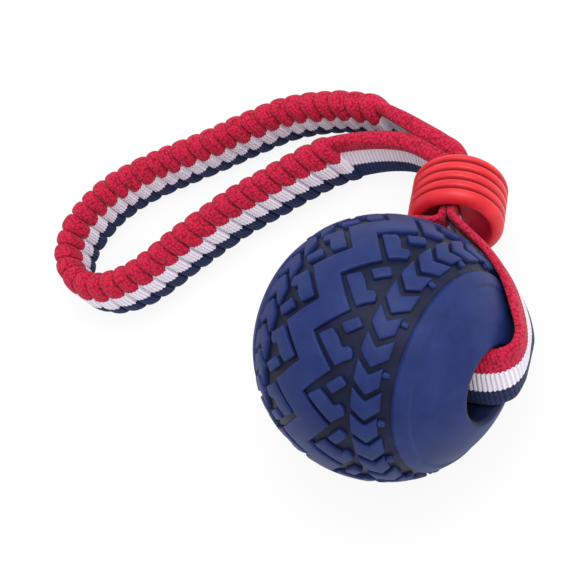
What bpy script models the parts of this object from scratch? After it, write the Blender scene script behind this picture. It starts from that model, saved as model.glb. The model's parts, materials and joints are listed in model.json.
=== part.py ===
"""A ball on a webbing loop for a dog: a moulded rubber ball with a tyre tread, a ribbed slider
bead, and one striped tubular webbing whose hand loop is gathered over a flat elastic.

Lengths are in metres. The toy is built in its own plane first: X is the ball's bore, Y points
from the ball to the bead, and Z is square to the plane, on the side of the red edge. An empty
then lays that plane on the floor, where the ball and the far strand of the loop touch it.
"""

from math import asin, atan2, ceil, cos, hypot, pi, radians, sin, sqrt

import bmesh
import bpy
from mathutils import Euler, Matrix, Vector

# Webbing's section, from which the bore and the bead's slot have their size
WEBBING_WIDTH = 0.020
WEBBING_THICKNESS = 0.0020

# Ball
BALL_RADIUS = 0.040
TREAD_DEPTH = 0.0014
CAP_DROP = 0.0010
RING_DROP = 0.0005
RING_WIDTH = 0.0048
RING_SOFTNESS = 0.0004
BORE_CLEARANCE = 0.0008
BORE_RADIUS = WEBBING_WIDTH / 2 + BORE_CLEARANCE
LIP_RADIUS = 0.0016
TREAD_SHARE = 0.69
TREAD_HALF_WIDTH = BALL_RADIUS * TREAD_SHARE
BALL_SEGMENTS = 42
CAP_RINGS = 4
FLOOR_RINGS = 6
LIP_RINGS = 3

# Tread: places along the equator and across it, as shares of half a period
TREAD_PERIODS = 14
BALL_SPIN = radians(1.8)
TREAD_ROOT = 0.0010
RIB_PEAK_SHARE = 1.045
RIB_NOTCH_SHARE = 0.115
NOTCH_BLOCK_SHARES = (
    (0.02, 0.33), (0.84, 1.15), (0.62, 1.38), (0.46, 1.63), (0.20, 1.58),
    (0.08, 1.42), (0.20, 1.22), (-0.10, 0.99), (-0.30, 0.72),
)
FLANK_BLOCK_SHARES = ((-0.92, 1.38), (-0.66, 1.64), (-0.24, 1.20), (-0.50, 0.93))
LONG_CHEVRON_SHARES = (
    (0.58, 2.22), (0.14, 2.71), (-0.62, 2.71), (-0.17, 2.22), (-0.66, 1.78), (0.09, 1.78),
)
SHORT_CHEVRON_SHARES = (
    (-0.42, 2.22), (-0.78, 2.62), (-1.54, 2.62), (-1.17, 2.22), (-1.66, 1.78), (-0.91, 1.78),
)
KNOB_SHARES = ((0.60, 2.62), (0.82, 2.62), (0.82, 2.86), (0.60, 2.86))

# Slider bead
BEAD_RADIUS = 0.0152
BEAD_LENGTH = 0.0191
BEAD_STANDOFF = 0.0151
BEAD_DISTANCE = BALL_RADIUS + BEAD_STANDOFF
BEAD_BEARING = radians(6.2)
BEAD_TURN = radians(18)
BEAD_NOD = radians(2.4)
BEAD_BACK_ROUNDING = 0.0024
BEAD_FRONT_ROUNDING = 0.0030
BEAD_BACK_DISH_RADIUS = 0.0110
BEAD_BACK_DISH_DEPTH = 0.0010
BEAD_FRONT_DISH_RADIUS = 0.0118
BEAD_FRONT_DISH_DEPTH = 0.0022
BEAD_GROOVES = 4
BEAD_GROOVE_PITCH = 0.00375
BEAD_GROOVE_START = 0.0036
BEAD_GROOVE_DEPTH = 0.0008
BEAD_GROOVE_WIDTH = 0.0013
BEAD_SEGMENTS = 36
ROUNDING_STEPS = 3
SLOT_SIDE_CLEARANCE = 0.0007
SLOT_FACE_CLEARANCE = 0.0008
SLOT_CORNER = 0.0015
CUTTER_OVERRUN = 0.002

# Webbing's runs and seams
LEG_GAP = 0.0008
YOKE_DEPTH = 0.0120
TOUCH_GAP = 0.0003
SPIN_CLEARANCE = 0.0006
ROUTE_STEP = 0.0006
RIBBON_STEP = 0.0026
RIBBON_TURN = radians(15)
LAP_LENGTH = 0.026
LAP_THICKNESS = 0.0018
STITCH_LENGTH = 0.018
STITCH_WIDTH = 0.010
STITCH_THICKNESS = 0.0006
BARTACK_WIDTH = 0.016
BARTACK_LENGTH = 0.0016
BARTACK_THICKNESS = 0.0006
BARTACK_INSET = 0.0022

# The yoke's right half: out of the bore and round the ball, as shares of the ball's radius with
# the twist of the webbing in degrees. The left half mirrors it, up to where each goes on alone
# towards the bead, at last as shares of the bead's length
BORE_TWIST = 18
YOKE_BORE_SHARES = (0.45, 0.75)
YOKE_WRAP_SHARES = (
    (0.889, 0.047, -0.011), (0.984, 0.126, -0.022), (1.014, 0.225, -0.032), (1.000, 0.329, -0.034),
    (0.962, 0.426, -0.034), (0.901, 0.540, -0.029), (0.812, 0.656, -0.024), (0.700, 0.773, -0.016),
    (0.564, 0.882, -0.006),
)
YOKE_WRAP_TWISTS = (16, 8, -4, -8, -6, 1, 4, 5, 6)
RIGHT_WRAP_SHARES = ((0.410, 0.969, 0.004), (0.247, 1.036, 0.011), (0.096, 1.095, 0.013))
RIGHT_WRAP_TWISTS = (5, 3, 0)
LEFT_WRAP_ANGLES = (65, 71)
LEFT_WRAP_TWISTS = (2, -3)
RIGHT_TURN_SHARES = ((-0.073, 0.016),)
LEFT_TURN_SHARES = ((0.300, 0.122), (0.200, 0.138), (0.112, 0.100), (0.082, 0.020))

# Gathered hand loop
HAND_SPACE_LENGTH = 0.104
HANDLE_STANDOFF = 0.001
HANDLE_TURN = radians(-132.5)
HANDLE_RISE = radians(5.1)
HANDLE_ROLL = radians(-15.3)
SLEEVE_CREST = 0.0092
SLEEVE_VALLEY = 0.0058
EDGE_SCALLOP = 0.0008
PLEAT_PITCH = 0.0064
PLEAT_SHARES = (0.0, 0.2, 0.5, 0.8)
PLEAT_FULLNESS_SHARES = (0.0, 0.82, 1.0, 0.82)
SLEEVE_OUTLINE_SHARES = ((1.0, 0.36), (0.86, 0.84), (0.44, 1.0))
CORE_WIDTH = 0.014
CORE_THICKNESS = 0.0024
CORE_CLEARANCE = 0.0005

# Its route in its own plane, as shares of the hand space's length. The first turns behind the
# bead's back face are in webbing thicknesses, and the leans are slopes of the webbing's width
HAND_START_SHARES = (-0.0395, -0.0532)
FAR_TURN_SHARES = ((-0.72, 1.30),)
NEAR_TURN_SHARES = ((0.95, 1.15),)
FAR_LEG_SHARES = ((0.020, -0.006), (0.046, -0.064), (0.082, -0.132), (0.130, -0.220))
FAR_GATHER_SHARES = ((0.180, -0.292), (0.262, -0.361), (0.360, -0.419), (0.470, -0.461))
BOW_SHARES = (
    (0.600, -0.480), (0.740, -0.491), (0.880, -0.508), (1.010, -0.520), (1.130, -0.516),
    (1.240, -0.482), (1.330, -0.415), (1.367, -0.330), (1.350, -0.245), (1.290, -0.184),
    (1.200, -0.157), (1.100, -0.160), (1.010, -0.180), (0.880, -0.206), (0.740, -0.226),
    (0.600, -0.233),
)
NEAR_GATHER_SHARES = ((0.470, -0.237), (0.370, -0.231))
NEAR_LEG_SHARES = ((0.285, -0.203), (0.205, -0.162), (0.150, -0.121), (0.112, -0.074), (0.081, -0.019))
SWING_SHARES = (0.075, -0.045)
FAR_LEAN = 0.14
NEAR_LEAN = 0.40

# Heading, in the toy's plane, towards which it slopes down to the floor
REST_HEADING = radians(123.6)
REST_TURN = radians(-14.8)

UP = Vector((0, 0, 1))


def material(name, colour, roughness):
    made = bpy.data.materials.new(name)
    made.use_nodes = True
    shader = made.node_tree.nodes["Principled BSDF"]
    shader.inputs["Base Color"].default_value = (*colour, 1)
    shader.inputs["Roughness"].default_value = roughness
    return made


def add_object(name, edit, finish, parent, place):
    """A named object from a bmesh that is drawn in its own frame, set at a place on its parent."""
    mesh = bpy.data.meshes.new(name)
    bmesh.ops.recalc_face_normals(edit, faces=edit.faces)
    edit.to_mesh(mesh)
    edit.free()
    mesh.shade_smooth()
    mesh.set_sharp_from_angle(angle=radians(35))
    mesh.materials.append(finish)
    made = bpy.data.objects.new(name, mesh)
    bpy.context.scene.collection.objects.link(made)
    made.parent = parent
    made.matrix_local = place
    return made


def add_on(group, name, edit, finish):
    """A named object from a bmesh that is drawn in the toy's plane, carried by a group."""
    empty, frame = group
    bmesh.ops.transform(edit, matrix=frame.inverted(), verts=edit.verts)
    return add_object(name, edit, finish, empty, Matrix())


def add_group(name, frame, parent=None):
    """An empty at a frame in the toy's plane, on another group."""
    made = bpy.data.objects.new(name, None)
    bpy.context.scene.collection.objects.link(made)
    if parent:
        made.parent = parent[0]
        made.matrix_local = parent[1].inverted() @ frame
    else:
        made.matrix_local = frame
    return made, frame


def boolean(target, helper, operation):
    """Joins or cuts with another object, which stays in the file as a hidden helper."""
    helper.hide_render = True
    helper.display_type = "WIRE"
    step = target.modifiers.new(helper.name, "BOOLEAN")
    step.operation = operation
    step.object = helper
    step.solver = "EXACT"
    step.use_self = operation == "UNION"


def skin(rings):
    """A closed mesh over a row of rings that have the same number of points."""
    edit = bmesh.new()
    rows = [[edit.verts.new(point) for point in ring] for ring in rings]
    for row, following in zip(rows, rows[1:]):
        for i in range(len(row)):
            j = (i + 1) % len(row)
            edit.faces.new((row[i], row[j], following[j], following[i]))
    edit.faces.new(rows[0][::-1])
    edit.faces.new(rows[-1])
    return edit


# Webbing routes
class Route:
    """A smooth line through chosen places, with the direction in which the webbing's width lies."""

    def __init__(self, stations):
        places = [place for place, _ in stations]
        widths = [width for _, width in stations]
        spans = [(b - a).length for a, b in zip(places, places[1:])]
        counts = [ceil(span / ROUTE_STEP) for span in spans]
        self.points = self.through(places, spans, counts)
        self.widths = self.through(widths, spans, counts)
        self.lengths = [0.0]
        for a, b in zip(self.points, self.points[1:]):
            self.lengths.append(self.lengths[-1] + (b - a).length)
        self.stops = [0.0]
        passed = 0
        for count in counts:
            passed += count
            self.stops.append(self.lengths[passed])

    @staticmethod
    def through(values, spans, counts):
        rates = [(b - a) / span for a, b, span in zip(values, values[1:], spans)]
        slopes = [rates[0]]
        for before, after, low, high in zip(rates, rates[1:], spans, spans[1:]):
            slopes.append((before * high + after * low) / (low + high))
        slopes.append(rates[-1])
        found = []
        for i, (span, count) in enumerate(zip(spans, counts)):
            for k in range(count):
                t = k / count
                start = values[i] * (1 - t**2 * (3 - 2 * t)) + slopes[i] * (span * t * (1 - t) ** 2)
                end = values[i + 1] * (t**2 * (3 - 2 * t)) - slopes[i + 1] * (span * t**2 * (1 - t))
                found.append(start + end)
        found.append(values[-1].copy())
        return found

    def between(self, values, length):
        for i in range(1, len(self.lengths)):
            if length <= self.lengths[i] or i == len(self.lengths) - 1:
                share = (length - self.lengths[i - 1]) / (self.lengths[i] - self.lengths[i - 1])
                return values[i - 1].lerp(values[i], share)

    def frame(self, length):
        """The place, and the directions along, across and through the webbing there."""
        place = self.between(self.points, length)
        before = self.between(self.points, max(length - ROUTE_STEP, 0))
        after = self.between(self.points, min(length + ROUTE_STEP, self.lengths[-1]))
        along = (after - before).normalized()
        across = self.between(self.widths, length)
        across = (across - along * across.dot(along)).normalized()
        return place, along, across, along.cross(across)


def ring_lengths(route, start, end):
    """Where a band along a stretch needs a ring: one for each step, and more in a bend."""
    count = ceil((end - start) / ROUTE_STEP)
    _, last_along, last_across, _ = route.frame(start)
    found = [start]
    for i in range(1, count):
        length = start + (end - start) * i / count
        _, along, across, _ = route.frame(length)
        turned = max(along.angle(last_along), across.angle(last_across))
        if length - found[-1] >= RIBBON_STEP or turned >= RIBBON_TURN:
            found.append(length)
            last_along, last_across = along, across
    found.append(end)
    return found


def ribbon(route, start, end, width, thickness, offset=0.0):
    """A flat band along a stretch of a route, beside its middle line by an offset."""
    rings = []
    for length in ring_lengths(route, start, end):
        place, _, across, through = route.frame(length)
        side = across * (width / 2)
        low = through * (offset - thickness / 2)
        high = through * (offset + thickness / 2)
        rings.append([place - side + low, place + side + low, place + side + high, place - side + high])
    return skin(rings)


def sleeve(route, start, end):
    """The webbing gathered into rounded pleats along a stretch of a route."""
    pleats = max(1, round((end - start) / PLEAT_PITCH))
    steps = [(k, share, full) for k in range(pleats) for share, full in zip(PLEAT_SHARES, PLEAT_FULLNESS_SHARES)]
    rings = []
    for pleat, share, full in [*steps, (pleats, 0, 0)]:
        place, _, across, through = route.frame(start + (end - start) * (pleat + share) / pleats)
        half_width = WEBBING_WIDTH / 2 - EDGE_SCALLOP * (1 - full)
        half_height = (SLEEVE_VALLEY + (SLEEVE_CREST - SLEEVE_VALLEY) * full) / 2
        quarter = [(half_width * w, half_height * h) for w, h in SLEEVE_OUTLINE_SHARES]
        upper = [*quarter, *((-w, h) for w, h in quarter[::-1])]
        outline = [*upper, *((-w, -h) for w, h in upper)]
        rings.append([place + across * w + through * h for w, h in outline])
    return skin(rings)


# Ball
def on_ball(along, across, radius):
    """A point above the ball's centre, from arcs along and across its equator."""
    longitude = along / BALL_RADIUS
    latitude = across / BALL_RADIUS
    flat = radius * cos(latitude)
    return Vector((radius * sin(latitude), flat * cos(longitude), flat * sin(longitude)))


def ball_section():
    """The turned section of the ball, as (distance along the bore, radius)."""
    cap = BALL_RADIUS - CAP_DROP
    ring = BALL_RADIUS - RING_DROP
    floor = BALL_RADIUS - TREAD_DEPTH
    edge = TREAD_HALF_WIDTH / BALL_RADIUS
    inner_edge = edge + RING_WIDTH / BALL_RADIUS
    softness = RING_SOFTNESS / BALL_RADIUS
    lip_flat = BORE_RADIUS + LIP_RADIUS
    lip_along = sqrt((cap - LIP_RADIUS) ** 2 - lip_flat**2)
    lip_latitude = atan2(lip_along, lip_flat)

    half = [(0.0, BORE_RADIUS)]
    for i in range(LIP_RINGS + 1):
        angle = pi + (lip_latitude - pi) * i / LIP_RINGS
        half.append((lip_along + LIP_RADIUS * sin(angle), lip_flat + LIP_RADIUS * cos(angle)))
    rows = [(lip_latitude + (inner_edge - lip_latitude) * i / CAP_RINGS, cap) for i in range(1, CAP_RINGS + 1)]
    rows.append((inner_edge - softness, ring))
    rows.append((edge + softness, ring))
    rows.extend((edge * (1 - i / FLOOR_RINGS), floor) for i in range(FLOOR_RINGS + 1))
    half.extend((radius * sin(latitude), radius * cos(latitude)) for latitude, radius in rows)
    return [*half, *((-x, r) for x, r in half[-2:0:-1])]


def turned_ring(section, segments):
    """A solid with a hole, turned about X from a closed section."""
    edit = bmesh.new()
    rows = []
    for i in range(segments):
        angle = 2 * pi * i / segments
        rows.append([edit.verts.new((x, r * cos(angle), r * sin(angle))) for x, r in section])
    for i, row in enumerate(rows):
        following = rows[(i + 1) % segments]
        for j in range(len(row)):
            k = (j + 1) % len(row)
            edit.faces.new((row[j], row[k], following[k], following[j]))
    return edit


def raise_block(edit, places):
    """A block of the tread over one outline, from below the tread's floor to the ball's radius."""
    root = BALL_RADIUS - TREAD_DEPTH - TREAD_ROOT
    low = [edit.verts.new(on_ball(x, y, root)) for x, y in places]
    high = [edit.verts.new(on_ball(x, y, BALL_RADIUS)) for x, y in places]
    for i in range(len(places)):
        j = (i + 1) % len(places)
        edit.faces.new((low[i], low[j], high[j], high[i]))
    edit.faces.new(low[::-1])
    edit.faces.new(high)


def raise_rib(edit, half_period):
    """The middle rib, a band that swings from side to side all round the ball."""
    root = BALL_RADIUS - TREAD_DEPTH - TREAD_ROOT
    peak = half_period * RIB_PEAK_SHARE
    notch = half_period * RIB_NOTCH_SHARE
    low, high = [], []
    steps = 4 * TREAD_PERIODS
    for i in range(steps):
        along = half_period * i / 2
        top = (peak, (peak + notch) / 2, notch, (peak + notch) / 2)[i % 4]
        bottom = top - peak - notch
        low.append([edit.verts.new(on_ball(along, y, root)) for y in (bottom, top)])
        high.append([edit.verts.new(on_ball(along, y, BALL_RADIUS)) for y in (bottom, (bottom + top) / 2, top)])
    for i in range(steps):
        j = (i + 1) % steps
        edit.faces.new((high[i][0], high[i][1], high[j][1], high[j][0]))
        edit.faces.new((high[i][1], high[i][2], high[j][2], high[j][1]))
        edit.faces.new((low[i][1], low[i][0], low[j][0], low[j][1]))
        edit.faces.new((low[i][0], high[i][0], high[j][0], low[j][0]))
        edit.faces.new((high[i][2], low[i][1], low[j][1], high[j][2]))


def tread():
    """The raised pattern: the rib, then both sides of blocks, one side turned half round."""
    edit = bmesh.new()
    half_period = pi * BALL_RADIUS / TREAD_PERIODS
    raise_rib(edit, half_period)
    shapes = (NOTCH_BLOCK_SHARES, FLANK_BLOCK_SHARES, LONG_CHEVRON_SHARES, SHORT_CHEVRON_SHARES, KNOB_SHARES)
    for i in range(TREAD_PERIODS):
        notch = half_period * (2 * i + 1)
        peak = half_period * 2 * i
        for shares in shapes:
            raise_block(edit, [(notch + half_period * x, half_period * y) for x, y in shares])
            raise_block(edit, [(peak - half_period * x, -half_period * y) for x, y in shares])
    return edit


# Slider bead, drawn about its own middle with X towards its back face
def bead_profile():
    half = BEAD_LENGTH / 2
    profile = [
        (-half + BEAD_FRONT_DISH_DEPTH, BEAD_FRONT_DISH_RADIUS - BEAD_FRONT_DISH_DEPTH),
        (-half, BEAD_FRONT_DISH_RADIUS),
    ]
    for i in range(ROUNDING_STEPS + 1):
        angle = pi / 2 * i / ROUNDING_STEPS
        back = BEAD_FRONT_ROUNDING * (1 - cos(angle))
        out = BEAD_FRONT_ROUNDING * (1 - sin(angle))
        profile.append((-half + back, BEAD_RADIUS - out))
    for i in range(BEAD_GROOVES - 1, -1, -1):
        centre = half - BEAD_GROOVE_START - BEAD_GROOVE_PITCH * i
        profile.append((centre - BEAD_GROOVE_WIDTH / 2, BEAD_RADIUS))
        profile.append((centre, BEAD_RADIUS - BEAD_GROOVE_DEPTH))
        profile.append((centre + BEAD_GROOVE_WIDTH / 2, BEAD_RADIUS))
    for i in range(ROUNDING_STEPS, -1, -1):
        angle = pi / 2 * i / ROUNDING_STEPS
        back = BEAD_BACK_ROUNDING * (1 - cos(angle))
        out = BEAD_BACK_ROUNDING * (1 - sin(angle))
        profile.append((half - back, BEAD_RADIUS - out))
    profile.append((half, BEAD_BACK_DISH_RADIUS))
    profile.append((half - BEAD_BACK_DISH_DEPTH, BEAD_BACK_DISH_RADIUS - BEAD_BACK_DISH_DEPTH))
    return profile


def bead_body():
    rings = []
    for x, r in bead_profile():
        angles = [2 * pi * i / BEAD_SEGMENTS for i in range(BEAD_SEGMENTS)]
        rings.append([Vector((x, r * cos(angle), r * sin(angle))) for angle in angles])
    return skin(rings)


def slot_cutter():
    """A bar with rounded edges, for the slot that the two legs of the webbing share."""
    half_height = WEBBING_THICKNESS + LEG_GAP / 2 + SLOT_FACE_CLEARANCE - SLOT_CORNER
    half_width = WEBBING_WIDTH / 2 + SLOT_SIDE_CLEARANCE - SLOT_CORNER
    outline = []
    for corner, (y, z) in enumerate(((1, 1), (-1, 1), (-1, -1), (1, -1))):
        for i in range(ROUNDING_STEPS):
            angle = pi / 2 * (corner + i / (ROUNDING_STEPS - 1))
            outline.append((half_height * y + SLOT_CORNER * cos(angle), half_width * z + SLOT_CORNER * sin(angle)))
    reach = BEAD_LENGTH / 2 + CUTTER_OVERRUN
    return skin([[Vector((x, y, z)) for y, z in outline] for x in (-reach, reach)])


def bead_place():
    bearing = Matrix.Rotation(BEAD_BEARING, 4, "Z")
    turn = Euler((0, BEAD_NOD, pi / 2 + BEAD_TURN)).to_matrix().to_4x4()
    return bearing @ Matrix.Translation((0, BEAD_DISTANCE, 0)) @ turn


def handle_place(bead):
    """The hand loop's own plane, which begins near the bead's back face."""
    behind = bead @ Vector((BEAD_LENGTH / 2 + HANDLE_STANDOFF, 0, 0))
    plane = Euler((HANDLE_ROLL, HANDLE_RISE, HANDLE_TURN)).to_matrix().to_4x4()
    start = Matrix.Translation([share * HAND_SPACE_LENGTH for share in (*HAND_START_SHARES, 0)])
    return Matrix.Translation(behind) @ plane @ start


# Yoke: one run of webbing from the bead, through the ball and back
def twisted(along, degrees):
    """The direction of the webbing's width, turned from square to the toy's plane."""
    angle = radians(degrees)
    return UP * cos(angle) + UP.cross(along) * sin(angle)


def outward_stations():
    """Right half of the yoke, from inside the bore to the bead's mouth."""
    wrap = [*YOKE_WRAP_SHARES, *RIGHT_WRAP_SHARES]
    shares = [*((share, 0, 0) for share in YOKE_BORE_SHARES), *wrap]
    twists = [*(BORE_TWIST for _ in YOKE_BORE_SHARES), *YOKE_WRAP_TWISTS, *RIGHT_WRAP_TWISTS]
    places = [Vector(share) * BALL_RADIUS for share in shares]
    stations = []
    for i, (place, twist) in enumerate(zip(places, twists)):
        before = places[max(i - 1, 0)]
        after = places[min(i + 1, len(places) - 1)]
        stations.append((place, twisted((after - before).normalized(), twist)))
    return stations


def left_wrap_stations():
    """The left half's last stretch on the ball, under the bead's rim."""
    seat = BALL_RADIUS + SPIN_CLEARANCE + WEBBING_THICKNESS / 2
    stations = []
    for angle, twist in zip(LEFT_WRAP_ANGLES, LEFT_WRAP_TWISTS):
        radial = Vector((-cos(radians(angle)), sin(radians(angle)), 0))
        along = UP.cross(-radial)
        stations.append((radial * (seat / cos(radians(twist))), twisted(along, -twist)))
    return stations


def into_bead(bead, side, turns):
    """From the ball's side of the bead to the end of the yoke inside it."""
    front = -BEAD_LENGTH / 2
    beside = side * (WEBBING_THICKNESS + LEG_GAP) / 2
    local = [(front - v * BEAD_LENGTH, u * BEAD_LENGTH) for u, v in turns]
    local += [(front + YOKE_DEPTH * share, beside) for share in (0.12, 0.5, 1)]
    return [(bead @ Vector((x, y, 0)), UP.copy()) for x, y in local]


def yoke_route(bead):
    """The whole yoke, from inside the bead down its left side and up its right side, and the
    lengths along it at which it enters and leaves the ball."""
    outward = outward_stations()
    shared = outward[:len(YOKE_BORE_SHARES) + len(YOKE_WRAP_SHARES)]
    mirrored = [(Vector((-p.x, p.y, p.z)), Vector((-w.x, w.y, w.z))) for p, w in shared]
    left = [*mirrored, *left_wrap_stations(), *into_bead(bead, 1, LEFT_TURN_SHARES)]
    right = [*outward, *into_bead(bead, -1, RIGHT_TURN_SHARES)]
    route = Route([*left[::-1], *right])
    mouth = len(YOKE_BORE_SHARES)
    return route, route.stops[len(left) - mouth - 1], route.stops[len(left) + mouth]


# Hand loop: one run of webbing out of the bead's back face, round the hand and back
def handle_route(bead, handle):
    """The whole hand loop, and where its five stretches meet, as numbers of its chosen places."""
    back = BEAD_LENGTH / 2
    depth = BEAD_LENGTH - YOKE_DEPTH - TOUCH_GAP

    def out_of_bead(side, turns):
        beside = side * (WEBBING_THICKNESS + LEG_GAP) / 2
        local = [(back - depth, beside), (back - depth / 2, beside), (back, beside)]
        local += [(back + v * WEBBING_THICKNESS, u * WEBBING_THICKNESS) for u, v in turns]
        return [(bead @ Vector((x, y, 0)), UP.copy()) for x, y in local]

    beside_plane = handle.to_3x3() @ Vector((0, -1, 0))
    normal = handle.to_3x3() @ UP

    def in_plane(shares, first, last):
        """Places in the plane. The width goes from one slope to another, from UP where it is None."""
        found = []
        for i, (x, y) in enumerate(shares):
            share = i / (len(shares) - 1)
            place = handle @ Vector((x * HAND_SPACE_LENGTH, y * HAND_SPACE_LENGTH, 0))
            found.append((place, width(first).lerp(width(last), share)))
        return found

    def width(lean):
        return UP.copy() if lean is None else (normal + beside_plane * lean).normalized()

    far_leg = [*out_of_bead(-1, FAR_TURN_SHARES), *in_plane(FAR_LEG_SHARES, None, FAR_LEAN)]
    far_gather = in_plane(FAR_GATHER_SHARES, FAR_LEAN, FAR_LEAN)
    bow = in_plane(BOW_SHARES, FAR_LEAN, NEAR_LEAN)
    near_gather = in_plane(NEAR_GATHER_SHARES, NEAR_LEAN, NEAR_LEAN)
    near_leg = [*in_plane(NEAR_LEG_SHARES, NEAR_LEAN, None), *out_of_bead(1, NEAR_TURN_SHARES)[::-1]]
    seams = [len(far_leg)]
    seams.append(seams[0] + len(far_gather))
    seams.append(seams[1] + len(bow) - 1)
    seams.append(seams[2] + len(near_gather))
    return Route([*far_leg, *far_gather, *bow, *near_gather, *near_leg]), seams


def add_gathered(group, name, core_name, route, start, end, webbing, elastic):
    """A gathered stretch with the elastic inside it."""
    tube = add_on(group, name, sleeve(route, start, end), webbing)
    bore_width = CORE_WIDTH + 2 * CORE_CLEARANCE
    bore_height = CORE_THICKNESS + 2 * CORE_CLEARANCE
    bore = ribbon(route, start - CUTTER_OVERRUN, end + CUTTER_OVERRUN, bore_width, bore_height)
    boolean(tube, add_on(group, name + "_tunnel", bore, elastic), "DIFFERENCE")
    add_on(group, core_name, ribbon(route, start, end, CORE_WIDTH, CORE_THICKNESS), elastic)


def lay_down(toy):
    """Turns the toy so that the ball and the hand loop touch the floor, and centres it there."""
    bpy.context.view_layer.update()
    shown = [each for each in bpy.data.objects if each.type == "MESH" and not each.hide_render]
    heading = Vector((cos(REST_HEADING), sin(REST_HEADING), 0))
    tilts = []
    for each in shown:
        for vertex in each.data.vertices:
            corner = each.matrix_world @ vertex.co
            reach = corner.dot(heading)
            span = hypot(reach, corner.z)
            if reach > BALL_RADIUS and each.name != "ball":
                tilts.append(asin(BALL_RADIUS / span) + atan2(corner.z, reach))
    tipped = Matrix.Rotation(-min(tilts), 4, "X") @ Matrix.Rotation(pi / 2 - REST_HEADING, 4, "Z")
    toy.matrix_world = Matrix.Rotation(REST_TURN, 4, "Z") @ tipped

    bpy.context.view_layer.update()
    graph = bpy.context.evaluated_depsgraph_get()
    corners = []
    for each in shown:
        solid = each.evaluated_get(graph)
        corners += [solid.matrix_world @ vertex.co for vertex in solid.to_mesh().vertices]
        solid.to_mesh_clear()
    low = Vector([min(corner[i] for corner in corners) for i in range(3)])
    high = Vector([max(corner[i] for corner in corners) for i in range(3)])
    middle = (low + high) / 2
    toy.matrix_world = Matrix.Translation((-middle.x, -middle.y, -low.z)) @ toy.matrix_world


def build():
    for each in list(bpy.data.objects):
        bpy.data.objects.remove(each)
    ball_rubber = material("navy_ball_rubber", (0.020, 0.034, 0.170), 0.55)
    bead_rubber = material("red_bead_rubber", (0.760, 0.040, 0.050), 0.42)
    webbing = material("striped_webbing", (0.480, 0.020, 0.040), 0.85)
    elastic = material("elastic_core", (0.800, 0.790, 0.750), 0.80)
    thread = material("sewing_thread", (0.300, 0.015, 0.030), 0.75)

    bead = bead_place()
    handle = handle_place(bead)
    swing = handle @ Matrix.Translation([share * HAND_SPACE_LENGTH for share in (*SWING_SHARES, 0)])

    toy = add_group("toy_plane", Matrix())
    yoke_group = add_group("yoke_slide", bead, toy)
    swing_group = add_group("handle_swing", swing, toy)
    stretch_group = add_group("handle_stretch", swing, swing_group)

    slider = add_object("slider_bead", bead_body(), bead_rubber, toy[0], bead)
    boolean(slider, add_object("slot_cutter", slot_cutter(), bead_rubber, toy[0], bead), "DIFFERENCE")

    spun = bead.inverted() @ Matrix.Rotation(BALL_SPIN, 4, "X")
    ball = add_object("ball", turned_ring(ball_section(), BALL_SEGMENTS), ball_rubber, yoke_group[0], spun)
    boolean(ball, add_object("tread_pattern", tread(), ball_rubber, ball, Matrix()), "UNION")

    route, left_mouth, right_mouth = yoke_route(bead)
    end = route.lengths[-1]
    gap = TOUCH_GAP / 2
    size = (WEBBING_WIDTH, WEBBING_THICKNESS)
    add_on(yoke_group, "yoke_leg_left", ribbon(route, 0, left_mouth - gap, *size), webbing)
    add_on(yoke_group, "strap_bore_run", ribbon(route, left_mouth + gap, right_mouth - gap, *size), webbing)
    add_on(yoke_group, "yoke_leg_right", ribbon(route, right_mouth + gap, end, *size), webbing)

    middle = (left_mouth + right_mouth) / 2
    lap_offset = WEBBING_THICKNESS / 2 + TOUCH_GAP + LAP_THICKNESS / 2
    lap = ribbon(route, middle - LAP_LENGTH / 2, middle + LAP_LENGTH / 2, WEBBING_WIDTH, LAP_THICKNESS, lap_offset)
    add_on(yoke_group, "strap_bore_lap", lap, webbing)
    stitch_offset = lap_offset + LAP_THICKNESS / 2 + TOUCH_GAP + STITCH_THICKNESS / 2
    stitch = (middle - STITCH_LENGTH / 2, middle + STITCH_LENGTH / 2, STITCH_WIDTH, STITCH_THICKNESS, stitch_offset)
    add_on(yoke_group, "splice_stitch", ribbon(route, *stitch), thread)

    route, seams = handle_route(bead, handle)
    cuts = [route.stops[seam] for seam in seams]
    add_on(toy, "swing_leg_far", ribbon(route, 0, cuts[0] - gap, *size), webbing)
    add_gathered(swing_group, "gather_far", "core_far", route, cuts[0] + gap, cuts[1] - gap, webbing, elastic)
    add_gathered(stretch_group, "gather_bow", "core_bow", route, cuts[1] + gap, cuts[2] - gap, webbing, elastic)
    add_gathered(swing_group, "gather_near", "core_near", route, cuts[2] + gap, cuts[3] - gap, webbing, elastic)
    add_on(toy, "swing_leg_near", ribbon(route, cuts[3] + gap, route.lengths[-1], *size), webbing)

    bartack_offset = WEBBING_THICKNESS / 2 + TOUCH_GAP + BARTACK_THICKNESS / 2
    far_start = cuts[0] - BARTACK_INSET - BARTACK_LENGTH
    near_start = cuts[3] + BARTACK_INSET
    for name, start, side in (("bartack_far", far_start, 1), ("bartack_near", near_start, -1)):
        bar = ribbon(route, start, start + BARTACK_LENGTH, BARTACK_WIDTH, BARTACK_THICKNESS, side * bartack_offset)
        add_on(swing_group, name, bar, thread)

    lay_down(toy[0])


build()
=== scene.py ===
import json
from bisect import bisect_right
from math import asin, ceil, cos, pi, radians, sin, sqrt
from random import Random

import bmesh
import bpy
from mathutils import Euler, Matrix, Vector


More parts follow.
